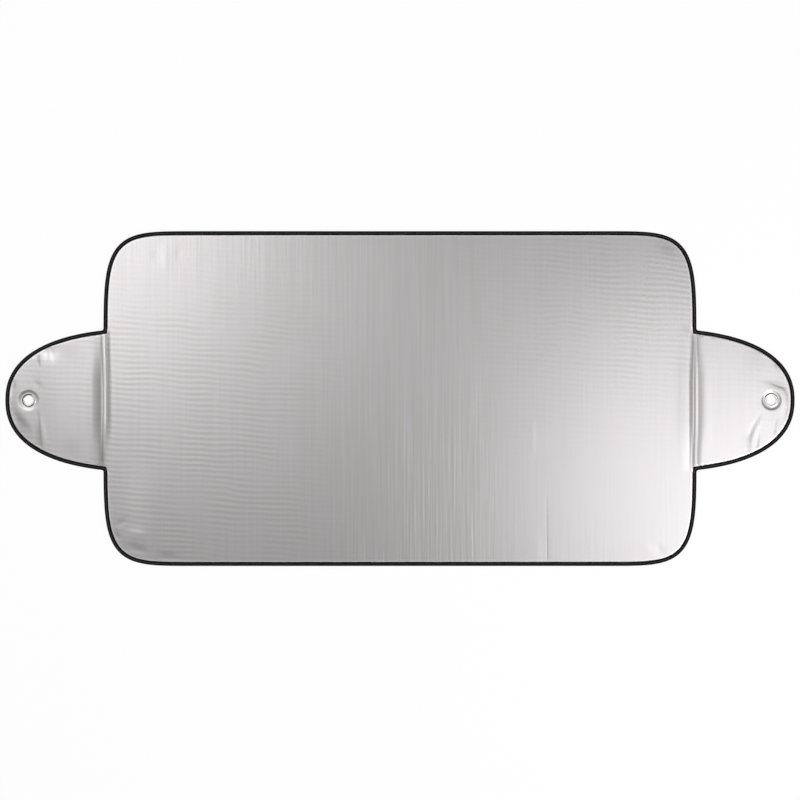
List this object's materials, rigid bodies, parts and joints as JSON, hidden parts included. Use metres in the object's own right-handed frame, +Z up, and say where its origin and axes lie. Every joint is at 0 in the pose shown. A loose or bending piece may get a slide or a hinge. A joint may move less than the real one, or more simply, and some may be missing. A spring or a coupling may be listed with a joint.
{
  "type": "windshield sun shade",
  "caption": "Flat padded foil shade for a windscreen, with a taped edge and a folding ear at each side that carries a metal eyelet.",
  "frame": {"origin": "on the floor under the middle of the panel, with the shade lying flat and face up", "axes": "+X along the length, from ear to ear; +Y towards the panel's top edge; +Z up, out of the reflective face"},
  "size_m": [1.65, 0.7, 0.0042],
  "materials": {
    "silver_foil": "satin metallised film on thin foam, with a faint fine weave",
    "black_tape": "matt woven polyester tape, folded and stitched",
    "eyelet_metal": "polished nickel plate"
  },
  "bodies": {
    "root": {"reflective_sheet": "silver_foil", "edge_binding": "black_tape", "left_eyelet": "eyelet_metal", "left_eyelet_washer": "eyelet_metal", "right_eyelet": "eyelet_metal", "right_eyelet_washer": "eyelet_metal"}
  },
  "joints": []
}
